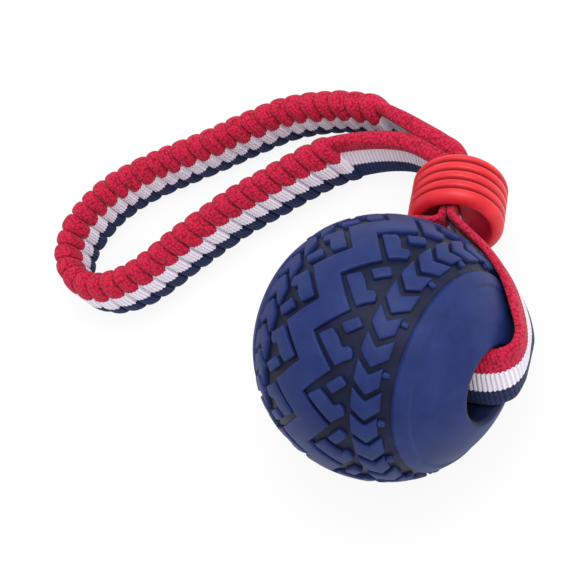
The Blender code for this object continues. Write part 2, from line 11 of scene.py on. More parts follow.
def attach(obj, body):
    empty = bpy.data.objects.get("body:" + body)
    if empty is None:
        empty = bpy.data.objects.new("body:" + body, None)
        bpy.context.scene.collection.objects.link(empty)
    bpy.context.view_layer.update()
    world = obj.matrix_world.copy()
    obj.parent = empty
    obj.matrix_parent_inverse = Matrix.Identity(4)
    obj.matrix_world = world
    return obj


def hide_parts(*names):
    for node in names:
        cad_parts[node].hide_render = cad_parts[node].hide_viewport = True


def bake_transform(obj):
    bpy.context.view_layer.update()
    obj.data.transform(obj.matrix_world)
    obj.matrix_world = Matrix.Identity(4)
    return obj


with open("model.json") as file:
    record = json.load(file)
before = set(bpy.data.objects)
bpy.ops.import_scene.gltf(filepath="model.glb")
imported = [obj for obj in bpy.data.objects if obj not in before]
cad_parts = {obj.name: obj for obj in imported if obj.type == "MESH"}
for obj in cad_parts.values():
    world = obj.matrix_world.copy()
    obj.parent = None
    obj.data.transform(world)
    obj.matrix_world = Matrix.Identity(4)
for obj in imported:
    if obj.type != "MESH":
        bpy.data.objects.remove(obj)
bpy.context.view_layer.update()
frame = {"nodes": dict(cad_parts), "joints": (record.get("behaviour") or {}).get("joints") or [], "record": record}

mm = 0.001
joints = {joint["name"]: joint for joint in frame["joints"]}
scene = bpy.context.scene

# Camera, at the photograph's angle
view = {
    "location": (0.08849, -0.13789, 0.38205),
    "turn": (0.24625, 0.35797, -0.38247),
    "focal": 75.4,
    "sensor": 36.0,
    "nearest": 0.01,
}
print("camera")
camera = bpy.data.objects.new("camera", bpy.data.cameras.new("camera"))
camera.location = view["location"]
camera.rotation_euler = view["turn"]
camera.data.lens = view["focal"]
camera.data.sensor_width = view["sensor"]
camera.data.clip_start = view["nearest"]
scene.collection.objects.link(camera)
scene.camera = camera
scene.view_settings.view_transform = "Standard"

# The webbing's route, in mm and degrees in the toy's own frame: X along the bore, Y from the ball
# towards the bead. Its points are those of the CAD model, as shares of the size that each follows
webbingRoute = {
    "toyAcross": (0.730648, 0.599016, -0.327618),
    "ballRadius": 40.0,
    "beadDistance": 55.1,
    "beadBearing": 6.2,
    "beadTurn": 18.0,
    "beadNod": 2.4,
    "beadLength": 19.1,
    "depthInBead": 12.0,
    "thickness": 2.0,
    "legGap": 0.8,
    "touchGap": 0.3,
    "frontDepths": (0.12, 0.5, 1),  # places inside the bead, from its face to the webbing's seam
    "backDepths": (0, 0.5, 1),
    "spinClearance": 0.6,
    "boreTwist": 18,
    "boreShares": (0.45, 0.75),
    "wrapShares": (
        (0.889, 0.047, -0.011), (0.984, 0.126, -0.022), (1.014, 0.225, -0.032), (1.000, 0.329, -0.034),
        (0.962, 0.426, -0.034), (0.901, 0.540, -0.029), (0.812, 0.656, -0.024), (0.700, 0.773, -0.016),
        (0.564, 0.882, -0.006),
    ),
    "wrapTwists": (16, 8, -4, -8, -6, 1, 4, 5, 6),
    "rightWrapShares": ((0.410, 0.969, 0.004), (0.247, 1.036, 0.011), (0.096, 1.095, 0.013)),
    "rightWrapTwists": (5, 3, 0),
    "leftWrapAngles": (65, 71),
    "leftWrapTwists": (2, -3),
    "rightTurnShares": ((-0.073, 0.016),),
    "leftTurnShares": ((0.300, 0.122), (0.200, 0.138), (0.112, 0.100), (0.082, 0.020)),
    "handSpace": 104.0,
    "handStandoff": 1.0,
    "handAngles": (-15.3, 5.1, -132.5),  # roll, rise and turn of the hand loop's plane
    "handStartShares": (-0.0395, -0.0532, 0),
    "farTurnShares": ((-0.72, 1.30),),
    "nearTurnShares": ((0.95, 1.15),),
    "farLegShares": ((0.020, -0.006), (0.046, -0.064), (0.082, -0.132), (0.130, -0.220)),
    "farGatherShares": ((0.180, -0.292), (0.262, -0.361), (0.360, -0.419), (0.470, -0.461)),
    "bowShares": (
        (0.600, -0.480), (0.740, -0.491), (0.880, -0.508), (1.010, -0.520), (1.130, -0.516),
        (1.240, -0.482), (1.330, -0.415), (1.367, -0.330), (1.350, -0.245), (1.290, -0.184),
        (1.200, -0.157), (1.100, -0.160), (1.010, -0.180), (0.880, -0.206), (0.740, -0.226),
        (0.600, -0.233),
    ),
    "nearGatherShares": ((0.470, -0.237), (0.370, -0.231)),
    "nearLegShares": ((0.285, -0.203), (0.205, -0.162), (0.150, -0.121), (0.112, -0.074), (0.081, -0.019)),
    "farLean": 0.14,
    "nearLean": 0.40,
    "step": 0.6,
}
up = Vector((0, 0, 1))


def toyPlace(spec):
    bore = Vector(joints["ball_spin"]["axis"]).normalized()
    across = Vector(spec["toyAcross"]).normalized()
    turn = Matrix((bore, across, bore.cross(across))).transposed().to_4x4()
    return Matrix.Translation(Vector(joints["ball_spin"]["pos_m"]) / mm) @ turn


def beadPlace(spec):  # in the toy's frame: X towards the bead's back face, Z along its slot
    turn = Euler((0, radians(spec["beadNod"]), radians(90 + spec["beadTurn"]))).to_matrix().to_4x4()
    out = Matrix.Translation((0, spec["beadDistance"], 0))
    return Matrix.Rotation(radians(spec["beadBearing"]), 4, "Z") @ out @ turn


def handPlace(spec):  # the hand loop's plane, which begins near the bead's back face
    behind = beadPlace(spec) @ Vector((spec["beadLength"] / 2 + spec["handStandoff"], 0, 0))
    plane = Euler([radians(angle) for angle in spec["handAngles"]]).to_matrix().to_4x4()
    start = Matrix.Translation([share * spec["handSpace"] for share in spec["handStartShares"]])
    return Matrix.Translation(behind) @ plane @ start


def twisted(along, degrees):  # the webbing's width, turned from square to the toy's plane
    return up * cos(radians(degrees)) + up.cross(along) * sin(radians(degrees))


def insideBead(spec, front, side, turns):  # one leg's places, from beside a face to its seam inside
    half, sign = spec["beadLength"] / 2, -1 if front else 1
    depth = spec["depthInBead"] if front else spec["beadLength"] - spec["depthInBead"] - spec["touchGap"]
    beside = side * (spec["thickness"] + spec["legGap"]) / 2
    unit = spec["beadLength"] if front else spec["thickness"]
    depths = spec["frontDepths"] if front else spec["backDepths"]
    local = [(sign * (half + v * unit), u * unit) for u, v in turns]
    local += [(sign * (half - depth * share), beside) for share in depths]
    return [(beadPlace(spec) @ Vector((x, y, 0)), up.copy()) for x, y in local]


def yokeStations(spec):  # the run from inside the bead down its left side, through the ball and back
    radius = spec["ballRadius"]
    bore = [(share, 0, 0) for share in spec["boreShares"]]
    places = [Vector(share) * radius for share in (*bore, *spec["wrapShares"], *spec["rightWrapShares"])]
    twists = (*(spec["boreTwist"] for _ in bore), *spec["wrapTwists"], *spec["rightWrapTwists"])
    right = []
    for i, (place, twist) in enumerate(zip(places, twists)):
        along = (places[min(i + 1, len(places) - 1)] - places[max(i - 1, 0)]).normalized()
        right.append((place, twisted(along, twist)))
    shared = right[:len(bore) + len(spec["wrapShares"])]
    left = [(Vector((-p.x, p.y, p.z)), Vector((-w.x, w.y, w.z))) for p, w in shared]
    seat = radius + spec["spinClearance"] + spec["thickness"] / 2
    for angle, twist in zip(spec["leftWrapAngles"], spec["leftWrapTwists"]):
        radial = Vector((-cos(radians(angle)), sin(radians(angle)), 0))
        left.append((radial * (seat / cos(radians(twist))), twisted(radial.cross(up), -twist)))
    left += insideBead(spec, True, 1, spec["leftTurnShares"])
    right += insideBead(spec, True, -1, spec["rightTurnShares"])
    return [*left[::-1], *right]


def handStations(spec):  # the run from the bead round the hand and back, and the gathers' two ends
    plane = handPlace(spec)
    beside, normal = plane.to_3x3() @ Vector((0, -1, 0)), plane.to_3x3() @ up

    def width(lean):
        return up.copy() if lean is None else (normal + beside * lean).normalized()

    def inPlane(shares, first, last):
        places = [plane @ Vector((x * spec["handSpace"], y * spec["handSpace"], 0)) for x, y in shares]
        turns = [i / (len(shares) - 1) for i in range(len(shares))]
        return [(place, width(first).lerp(width(last), turn)) for place, turn in zip(places, turns)]

    far, near = spec["farLean"], spec["nearLean"]
    farInside = insideBead(spec, False, -1, spec["farTurnShares"])[::-1]
    nearInside = insideBead(spec, False, 1, spec["nearTurnShares"])
    runs = [
        [*farInside, *inPlane(spec["farLegShares"], None, far)],
        inPlane(spec["farGatherShares"], far, far),
        inPlane(spec["bowShares"], far, near),
        inPlane(spec["nearGatherShares"], near, near),
        [*inPlane(spec["nearLegShares"], near, None), *nearInside],
    ]
    stations = [station for run in runs for station in run]
    return stations, (len(runs[0]), len(stations) - len(runs[-1]) - 1)


def throughPlaces(values, spans, counts):
    rates = [(b - a) / span for a, b, span in zip(values, values[1:], spans)]
    slopes = [rates[0]]
    for before, after, low, high in zip(rates, rates[1:], spans, spans[1:]):
        slopes.append((before * high + after * low) / (low + high))
    slopes.append(rates[-1])
    found = []
    for i, (span, count) in enumerate(zip(spans, counts)):
        for k in range(count):
            t = k / count
            start = values[i] * (1 - t ** 2 * (3 - 2 * t)) + slopes[i] * (span * t * (1 - t) ** 2)
            end = values[i + 1] * (t ** 2 * (3 - 2 * t)) - slopes[i + 1] * (span * t ** 2 * (1 - t))
            found.append(start + end)
    found.append(values[-1].copy())
    return found


def makeLine(stations, toy, step):  # a smooth line through the places, in mm in the world
    places = [toy @ place for place, _ in stations]
    widths = [toy.to_3x3() @ width for _, width in stations]
    spans = [(b - a).length for a, b in zip(places, places[1:])]
    counts = [ceil(span / step) for span in spans]
    fine = throughPlaces(places, spans, counts)
    lengths = [0.0]
    for a, b in zip(fine, fine[1:]):
        lengths.append(lengths[-1] + (b - a).length)
    across = throughPlaces(widths, spans, counts)
    stops = [lengths[sum(counts[:i])] for i in range(len(counts) + 1)]
    return {"fine": fine, "across": across, "lengths": lengths, "stops": stops}


toy = toyPlace(webbingRoute)
yoke = makeLine(yokeStations(webbingRoute), toy, webbingRoute["step"])
handPlaces, gatherSeams = handStations(webbingRoute)
hand = makeLine(handPlaces, toy, webbingRoute["step"])
gatherStart, gatherEnd = [hand["stops"][seam] for seam in gatherSeams]


def linear(hexColour):  # sRGB hex to the linear values that Blender wants
    values = [int(hexColour[i:i + 2], 16) / 255 for i in (1, 3, 5)]
    return (*[v / 12.92 if v <= 0.04045 else ((v + 0.055) / 1.055) ** 2.4 for v in values], 1.0)


def addNode(tree, kind, inputs=None, stops=(), blending="LINEAR", **settings):
    # One node, with its settings, values and links, and a ramp's stops
    node = tree.nodes.new("ShaderNode" + kind)
    for name, value in settings.items():
        setattr(node, name, value)
    for name, value in (inputs or {}).items():
        if isinstance(value, bpy.types.NodeSocket):
            tree.links.new(value, node.inputs[name])
        else:
            node.inputs[name].default_value = value
    if stops:
        node.color_ramp.interpolation = blending
        for _ in stops[2:]:
            node.color_ramp.elements.new(1.0)
        for element, (position, colour) in zip(node.color_ramp.elements, stops):
            element.position = position
            element.color = colour
    return node


def startMaterial(name, **shaderValues):  # a new material, its node tree and its Principled shader
    made = bpy.data.materials.new(name)
    made.use_nodes = True
    shader = made.node_tree.nodes["Principled BSDF"]
    for socket, value in shaderValues.items():
        shader.inputs[socket.replace("_", " ")].default_value = value
    return made, made.node_tree, shader


def makePiece(name, bm, material, body=None, creaseAngle=40):
    mesh = bpy.data.meshes.new(name)
    bm.to_mesh(mesh)
    bm.free()
    mesh.materials.append(material)
    mesh.shade_smooth()
    mesh.set_sharp_from_angle(angle=radians(creaseAngle))
    piece = bpy.data.objects.new(name, mesh)
    scene.collection.objects.link(piece)
    if body:
        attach(piece, body)
    return piece


# Moulded natural rubber, navy: satin, with a little dust, with the fine grain of the mould
navyRubber = {
    "top": "#15245a",
    "worn": "#21326a",
    "wornFrom": (0.34, 0.74),  # shares of the mottle, from clean to worn
    # painted shade: the colour of the tread's grooves where no dust lies
    "paintedShade": "#060b2a",
    "dust": "#121a3c",
    "dustFrom": (0.45, 0.66),  # shares of the mottle, from grooves in painted shade to dust-covered ones
    "centre": joints["ball_spin"]["pos_m"],
    "floorRadius": 38.64,  # mm, below which the tread's grooves take the painted shade and dust
    "wallHeight": 0.28,  # mm, over which the painted shade and dust fade up their walls
    "mottle": 9.0,  # mm
    "grain": 0.35,  # mm
    "grainDepth": 0.12,  # mm
    "roughness": (0.44, 0.62),
    "gloss": 0.22,
}


def makeNavyRubber(spec):
    made, tree, shader = startMaterial("mouldedNavyRubber", IOR=1.5, Specular_IOR_Level=spec["gloss"])
    place = addNode(tree, "TexCoord").outputs["Object"]
    offset = addNode(tree, "VectorMath", {0: place, 1: spec["centre"]}, operation="SUBTRACT").outputs[0]
    radius = addNode(tree, "VectorMath", {0: offset}, operation="LENGTH").outputs["Value"]
    mottle = addNode(tree, "TexNoise", {
        "Vector": place, "Scale": 1 / (spec["mottle"] * mm), "Detail": 4.0, "Roughness": 0.6,
    }).outputs["Fac"]
    grain = addNode(tree, "TexNoise", {
        "Vector": place, "Scale": 1 / (spec["grain"] * mm), "Detail": 2.0,
    }).outputs["Fac"]
    top = [(at, linear(spec[name])) for at, name in zip(spec["wornFrom"], ("top", "worn"))]
    worn = addNode(tree, "ValToRGB", {"Fac": mottle}, top).outputs["Color"]
    # Grooves: painted shade, with real grey dust lying in patches
    height = addNode(tree, "MapRange", {
        "Value": radius, "From Min": spec["floorRadius"] * mm,
        "From Max": (spec["floorRadius"] + spec["wallHeight"]) * mm,
    }, clamp=True).outputs[0]
    paintedShade = [(at, linear(spec[name])) for at, name in zip(spec["dustFrom"], ("paintedShade", "dust"))]
    dustAndPaintedShade = addNode(tree, "ValToRGB", {"Fac": mottle}, paintedShade).outputs["Color"]
    colour = addNode(tree, "Mix", {"Factor": height, "A": dustAndPaintedShade, "B": worn}, data_type="RGBA")
    tree.links.new(colour.outputs["Result"], shader.inputs["Base Color"])
    low, high = spec["roughness"]
    rough = addNode(tree, "MapRange", {"Value": grain, "To Min": low, "To Max": high})
    tree.links.new(rough.outputs[0], shader.inputs["Roughness"])
    bump = addNode(tree, "Bump", {"Height": grain, "Strength": 0.25, "Distance": spec["grainDepth"] * mm})
    tree.links.new(bump.outputs[0], shader.inputs["Normal"])
    return made


# Moulded silicone-like rubber, red: smoother than the ball, with soft flow marks painted as light and shade, a lit
# and a shaded copy of the red
redRubber = {
    "lit": "#da2730",
    "shade": "#cb1b29",
    "litFrom": (0.30, 0.62),  # shares of the flow marks, from shade to lit
    # painted shade: darker red in the grooves, and in the dishes of the end faces
    "grooveShade": "#8c0018",
    "dish": "#a40f28",
    "flow": 7.0,  # mm
    "grain": 0.5,  # mm
    "grainDepth": 0.08,  # mm
    "roughness": (0.30, 0.46),
    "gloss": 0.32,
    "coat": 0.05,
    "grooveShadeRadii": (14.3, 15.08),  # mm from the axis, over which the grooves' painted shade fades, from their floor to the ribs
    "grooveReach": 7.2,  # mm along the axis from the bead's middle
    "dishShadeRadii": (10.4, 11.9),  # mm from the axis, from the dish's painted shade to its rim
}


def makeRedRubber(spec):
    made, tree, shader = startMaterial(
        "mouldedRedRubber", IOR=1.5, Specular_IOR_Level=spec["gloss"], Coat_Weight=spec["coat"],
        Coat_Roughness=0.3,
    )
    bead = toy @ beadPlace(webbingRoute)
    centre, axis = bead.translation * mm, bead.col[0].xyz
    place = addNode(tree, "TexCoord").outputs["Object"]
    offset = addNode(tree, "VectorMath", {0: place, 1: centre}, operation="SUBTRACT").outputs[0]
    axial = addNode(tree, "VectorMath", {0: offset, 1: axis}, operation="DOT_PRODUCT").outputs["Value"]
    square = addNode(tree, "VectorMath", {0: offset, 1: axis}, operation="CROSS_PRODUCT").outputs[0]
    radius = addNode(tree, "VectorMath", {0: square}, operation="LENGTH").outputs["Value"]
    flow = addNode(tree, "TexNoise", {
        "Vector": place, "Scale": 1 / (spec["flow"] * mm), "Detail": 3.0,
    }).outputs["Fac"]
    grain = addNode(tree, "TexNoise", {
        "Vector": place, "Scale": 1 / (spec["grain"] * mm), "Detail": 2.0,
    }).outputs["Fac"]
    # The flow marks mix a lit and a shaded copy of the red: painted light and painted shade
    marks = [(at, linear(spec[name])) for at, name in zip(spec["litFrom"], ("shade", "lit"))]
    colour = addNode(tree, "ValToRGB", {"Fac": flow}, marks).outputs["Color"]
    # Painted shade: the red darkens in the grooves and in the end faces' dishes
    beside = addNode(tree, "Math", {0: axial}, operation="ABSOLUTE").outputs[0]
    reach = spec["grooveReach"] * mm
    ribbed = addNode(tree, "Math", {0: beside, 1: reach}, operation="LESS_THAN").outputs[0]
    sunk, dishShadeShare = (addNode(tree, "MapRange", {
        "Value": radius, "From Min": low * mm, "From Max": high * mm, "To Min": 1.0, "To Max": 0.0,
    }).outputs[0] for low, high in (spec["grooveShadeRadii"], spec["dishShadeRadii"]))
    grooveShadeShare = addNode(tree, "Math", {0: sunk, 1: ribbed}, operation="MULTIPLY").outputs[0]
    for share, name in ((grooveShadeShare, "grooveShade"), (dishShadeShare, "dish")):
        mix = {"Factor": share, "A": colour, "B": linear(spec[name])}
        colour = addNode(tree, "Mix", mix, data_type="RGBA").outputs["Result"]
    tree.links.new(colour, shader.inputs["Base Color"])
    low, high = spec["roughness"]
    rough = addNode(tree, "MapRange", {"Value": flow, "To Min": low, "To Max": high})
    tree.links.new(rough.outputs[0], shader.inputs["Roughness"])
    bump = addNode(tree, "Bump", {"Height": grain, "Strength": 0.14, "Distance": spec["grainDepth"] * mm})
    tree.links.new(bump.outputs[0], shader.inputs["Normal"])
    return made


# Tubular polyester webbing: three woven stripes, crosswise ribs of thick weft, nubby where it is red
webbing = {
    "face": ("#202e5c", "#f2ebf5", "#d32046"),  # the navy, white and red stripe
    "paintedShade": ("#0a112e", "#bcaec6", "#860824"),  # and the same in painted shade, between their threads
    "nubShares": (0.35, 0.12, 1.0),  # depth of the nubs in each stripe
    "ribShares": (0.55, 0.50, 0.22),  # and of the ribs
    "starts": (0.0, 0.335, 0.665),  # where each stripe begins, as a share of the width
    "width": 20.0,  # mm
    "rib": 1.25,  # mm from rib to rib
    "nub": 1.05,  # mm from one nub of the yarn to the next
    "nubEdge": (0.32, 0.95),  # from a nub's top to the hollow beside it
    "ribEdge": (-1.0, 0.4),  # from a rib's foot to its top, on its wave
    "tooth": 0.012,  # the teeth in which the stripes meet, as a share of the width
    "wander": 0.016,  # and how far they stray
    "fuzzScale": 2.3,  # loose fibres to a rib
    "fuzzHeight": 0.25,  # their height, as a share of the ribs'
    "depth": 0.42,  # mm
}


def makeWebbing(spec):
    made, tree, shader = startMaterial(
        "wovenStripedWebbing", Roughness=0.82, Specular_IOR_Level=0.14, Sheen_Weight=0.08,
        Sheen_Roughness=0.5,
    )
    place = addNode(tree, "TexCoord").outputs["Object"]
    uv = addNode(tree, "UVMap", uv_map="webbing").outputs[0]
    parts = addNode(tree, "SeparateXYZ", {0: uv})
    along, across = parts.outputs["X"], parts.outputs["Y"]
    perMetre, perWidth = 1 / (spec["rib"] * mm), spec["width"] / spec["rib"]
    turns = addNode(tree, "Math", {0: along, 1: 2 * pi * perMetre}, operation="MULTIPLY").outputs[0]
    rib = addNode(tree, "Math", {0: turns}, operation="SINE").outputs[0]
    ribs = addNode(tree, "Math", {0: along, 1: perMetre}, operation="MULTIPLY").outputs[0]
    threads = addNode(tree, "Math", {0: across, 1: perWidth}, operation="MULTIPLY").outputs[0]
    cells = addNode(tree, "CombineXYZ", {"X": ribs, "Y": threads}).outputs[0]
    fuzz = addNode(tree, "TexNoise", {
        "Vector": cells, "Scale": spec["fuzzScale"], "Detail": 3.0,
    }).outputs["Fac"]
    nub = addNode(tree, "TexVoronoi", {
        "Vector": place, "Scale": 1 / (spec["nub"] * mm), "Randomness": 0.7,
    }).outputs["Distance"]
    # The stripes meet in teeth, one to a rib
    tooth = addNode(tree, "Math", {0: rib, 1: spec["tooth"]}, operation="MULTIPLY").outputs[0]
    stray = addNode(tree, "MapRange", {
        "Value": fuzz, "To Min": -spec["wander"], "To Max": spec["wander"],
    }).outputs[0]
    toothed = addNode(tree, "Math", {0: across, 1: tooth}, operation="ADD").outputs[0]
    edge = addNode(tree, "Math", {0: toothed, 1: stray}, operation="ADD").outputs[0]
    ramps = []
    for colours in (
        [linear(colour) for colour in spec["face"]], [linear(colour) for colour in spec["paintedShade"]],
        [(v, v, v, 1) for v in spec["nubShares"]], [(v, v, v, 1) for v in spec["ribShares"]],
    ):
        stops = list(zip(spec["starts"], colours))
        ramps.append(addNode(tree, "ValToRGB", {"Fac": edge}, stops, "CONSTANT").outputs["Color"])
    face, paintedShade, nubShare, ribShare = ramps
    # Depth: nubs that are strongest in the red, and ribs that are strongest in the rest. It raises the bump, and
    # darkens the colour towards the painted shade
    low, high = spec["nubEdge"]
    hollow = addNode(tree, "MapRange", {
        "Value": nub, "From Min": low, "From Max": high,
    }, clamp=True).outputs[0]
    low, high = spec["ribEdge"]
    foot = addNode(tree, "MapRange", {
        "Value": rib, "From Min": low, "From Max": high, "To Min": 1.0, "To Max": 0.0,
    }).outputs[0]
    nubDepth = addNode(tree, "Math", {0: hollow, 1: nubShare}, operation="MULTIPLY").outputs[0]
    ribDepth = addNode(tree, "Math", {0: foot, 1: ribShare}, operation="MULTIPLY").outputs[0]
    depth = addNode(tree, "Math", {0: nubDepth, 1: ribDepth}, operation="ADD").outputs[0]
    mix = {"Factor": depth, "A": face, "B": paintedShade}
    colour = addNode(tree, "Mix", mix, data_type="RGBA", clamp_factor=True)
    tree.links.new(colour.outputs["Result"], shader.inputs["Base Color"])
    height = addNode(tree, "Math", {0: 1.0, 1: depth}, operation="SUBTRACT").outputs[0]
    fibres = addNode(tree, "Math", {0: fuzz, 1: spec["fuzzHeight"]}, operation="MULTIPLY").outputs[0]
    lumpy = addNode(tree, "Math", {0: height, 1: fibres}, operation="ADD").outputs[0]
    bump = addNode(tree, "Bump", {"Height": lumpy, "Strength": 1.0, "Distance": spec["depth"] * mm})
    tree.links.new(bump.outputs[0], shader.inputs["Normal"])
    return made


# Braided elastic, natural white: flat, with slanting strands of covered rubber
braidedElastic = {
    "light": "#e6e1d3",
    "dark": "#b9b19c",
    "lightFrom": (0.2, 0.8),  # shares of a strand, from dark to light
    "strand": 2.06,  # mm from strand to strand
    "depth": 0.2,  # mm
}


def makeElastic(spec):
    made, tree, shader = startMaterial("braidedElastic", Roughness=0.8, Sheen_Weight=0.2)
    place = addNode(tree, "TexCoord").outputs["Object"]
    wave = addNode(tree, "TexWave", {
        "Vector": place, "Scale": pi / (5 * sqrt(3)) / (spec["strand"] * mm),
        "Distortion": 1.5, "Detail": 1.0, "Detail Scale": 2.0,
    }, bands_direction="DIAGONAL").outputs["Fac"]
    strand = [(at, linear(spec[name])) for at, name in zip(spec["lightFrom"], ("dark", "light"))]
    colour = addNode(tree, "ValToRGB", {"Fac": wave}, strand)
    tree.links.new(colour.outputs["Color"], shader.inputs["Base Color"])
    bump = addNode(tree, "Bump", {"Height": wave, "Strength": 0.6, "Distance": spec["depth"] * mm})
    tree.links.new(bump.outputs[0], shader.inputs["Normal"])
    return made


# Bonded polyester sewing thread, dark red: close satin stitches side by side
sewingThread = {
    "light": "#a5162c",
    "dark": "#5c0716",
    "lightFrom": (0.25, 0.75),  # shares of a stitch, from dark to light
    "stitch": 0.99,  # mm from stitch to stitch
    "depth": 0.15,  # mm
}


def makeThread(spec):
    made, tree, shader = startMaterial("bondedThread", Roughness=0.55, Sheen_Weight=0.3)
    place = addNode(tree, "TexCoord").outputs["Object"]
    wave = addNode(tree, "TexWave", {
        "Vector": place, "Scale": pi / 10 / (spec["stitch"] * mm), "Distortion": 0.8, "Detail": 1.0,
    }, bands_direction="X").outputs["Fac"]
    stitch = [(at, linear(spec[name])) for at, name in zip(spec["lightFrom"], ("dark", "light"))]
    colour = addNode(tree, "ValToRGB", {"Fac": wave}, stitch)
    tree.links.new(colour.outputs["Color"], shader.inputs["Base Color"])
    bump = addNode(tree, "Bump", {"Height": wave, "Strength": 0.7, "Distance": spec["depth"] * mm})
    tree.links.new(bump.outputs[0], shader.inputs["Normal"])
    return made


print("materials")
finishes = {
    "ball_rubber": makeNavyRubber(navyRubber),
    "bead_rubber": makeRedRubber(redRubber),
    "webbing": makeWebbing(webbing),
    "elastic": makeElastic(braidedElastic),
    "thread": makeThread(sewingThread),
}
for part in frame["record"]["subparts"]:
    node = frame["nodes"][part["node"]]
    node.data.materials.clear()
    node.data.materials.append(finishes[part["material_slot"]])


# Ball, in mm
ball = {
    "radius": 40.0,
    "tread": 1.4,
    "capDrop": 1.0,
    "ringDrop": 0.5,
    "ringWidth": 4.8,
    "ringStep": 0.45,  # half the run of the step on each side of the rim ring
    "bore": 10.8,
    "lip": 1.6,
    "rows": {"bore": 5, "lip": 8, "cap": 22, "ring": 6, "ground": 30},
    "turns": 140,
    "treadHalfWidth": 27.6,
    "periods": 14,
    "sunk": 1.0,  # how far the blocks reach below the tread's floor
    "blockEdge": 0.55,
    "slice": 2.2,  # the longest face of a block that is laid on the ball
    "spin": 1.8,  # degrees
    "ribPeak": 1.045,  # the middle rib's half width at its peaks and between, in halves of a period
    "ribNotch": 0.115,
    "ribGrid": (4, 5),  # faces along a half period, and across
    # Outlines of the tread's blocks, in halves of a period: along the equator, and across it
    "blocks": (
        (
            (0.02, 0.33), (0.84, 1.15), (0.62, 1.38), (0.46, 1.63), (0.20, 1.58), (0.08, 1.42),
            (0.20, 1.22), (-0.10, 0.99), (-0.30, 0.72),
        ),
        ((-0.92, 1.38), (-0.66, 1.64), (-0.24, 1.20), (-0.50, 0.93)),
        ((0.58, 2.22), (0.14, 2.71), (-0.62, 2.71), (-0.17, 2.22), (-0.66, 1.78), (0.09, 1.78)),
        ((-0.42, 2.22), (-0.78, 2.62), (-1.54, 2.62), (-1.17, 2.22), (-1.66, 1.78), (-0.91, 1.78)),
        ((0.60, 2.62), (0.82, 2.62), (0.82, 2.86), (0.60, 2.86)),
    ),
}


def onBall(spec, along, over, height):  # a point of the flat tread, laid on the ball
    longitude, latitude = along / spec["radius"], over / spec["radius"]
    radius = spec["radius"] - spec["tread"] + height
    ring = radius * cos(latitude)
    return Vector((radius * sin(latitude), ring * cos(longitude), ring * sin(longitude)))


def ballSection(spec):  # half of the turned section, from the middle of the bore to the equator
    cap, ring, ground = (spec["radius"] - spec[drop] for drop in ("capDrop", "ringDrop", "tread"))
    rows = spec["rows"]
    edge = spec["treadHalfWidth"] / spec["radius"]
    inner = edge + spec["ringWidth"] / spec["radius"]
    flat = spec["bore"] + spec["lip"]
    lipX = sqrt((cap - spec["lip"]) ** 2 - flat ** 2)
    lipLatitude = asin(lipX / (cap - spec["lip"]))
    section = [(lipX * i / rows["bore"], spec["bore"]) for i in range(rows["bore"])]
    for i in range(rows["lip"] + 1):
        angle = pi + (lipLatitude - pi) * i / rows["lip"]
        section.append((lipX + spec["lip"] * sin(angle), flat + spec["lip"] * cos(angle)))
    curve = [(lipLatitude + (inner - lipLatitude) * i / rows["cap"], cap) for i in range(1, rows["cap"])]
    soft = spec["ringStep"] / spec["radius"]
    for share in (-1.0, -0.5, 0.0, 0.5, 1.0):  # the step up from the cap to the rim ring
        curve.append((inner - soft * share, cap + (ring - cap) * (share + 1) / 2))
    curve += [(inner + (edge - inner) * i / rows["ring"], ring) for i in range(1, rows["ring"])]
    for share in (-1.0, -0.6, 0.0, 0.6, 1.0):  # and down from it to the tread's floor
        curve.append((edge - soft * share, ring + (ground - ring) * (share + 1) / 2))
    curve += [(edge * (1 - i / rows["ground"]), ground) for i in range(1, rows["ground"] + 1)]
    return section + [(radius * sin(latitude), radius * cos(latitude)) for latitude, radius in curve]


def roundEdges(spec, bm, edges):
    bmesh.ops.bevel(
        bm, geom=edges, offset=spec["blockEdge"], offset_type="OFFSET", affect="EDGES", segments=3,
        profile=0.5, material=-1, clamp_overlap=True,
    )


def slicedBlock(spec, outline, half):  # one flat block with rounded edges, cut so that it can bend
    bm = bmesh.new()
    corners = [bm.verts.new((half * x, half * y, -spec["sunk"])) for x, y in outline]
    ground = bm.faces.new(corners)
    grown = bmesh.ops.extrude_face_region(bm, geom=[ground])
    top = [v for v in grown["geom"] if isinstance(v, bmesh.types.BMVert)]
    bmesh.ops.translate(bm, vec=(0, 0, spec["sunk"] + spec["tread"]), verts=top)
    bmesh.ops.recalc_face_normals(bm, faces=bm.faces)
    roundEdges(spec, bm, [e for e in bm.edges if e.verts[0] in top or e.verts[1] in top])
    for axis in range(2):
        low = min(v.co[axis] for v in bm.verts)
        high = max(v.co[axis] for v in bm.verts)
        count = int((high - low) / spec["slice"]) + 1
        normal = Vector((axis == 0, axis == 1, 0))
        for i in range(1, count):
            at = normal * (low + (high - low) * i / count)
            whole = [*bm.verts, *bm.edges, *bm.faces]
            bmesh.ops.bisect_plane(bm, geom=whole, plane_co=at, plane_no=normal)
    return bm


def joinTo(target, source, moves=((1, 0),)):  # a copy of the source for each flip and shift along
    scratch = bpy.data.meshes.new("scratch")
    source.to_mesh(scratch)
    source.free()
    for flip, along in moves:
        start = len(target.verts)
        target.from_mesh(scratch)
        target.verts.ensure_lookup_table()
        move = Matrix.Translation((along, 0, 0)) @ Matrix.Diagonal((flip, flip, 1, 1))
        bmesh.ops.transform(target, matrix=move, verts=target.verts[start:])
    bpy.data.meshes.remove(scratch)


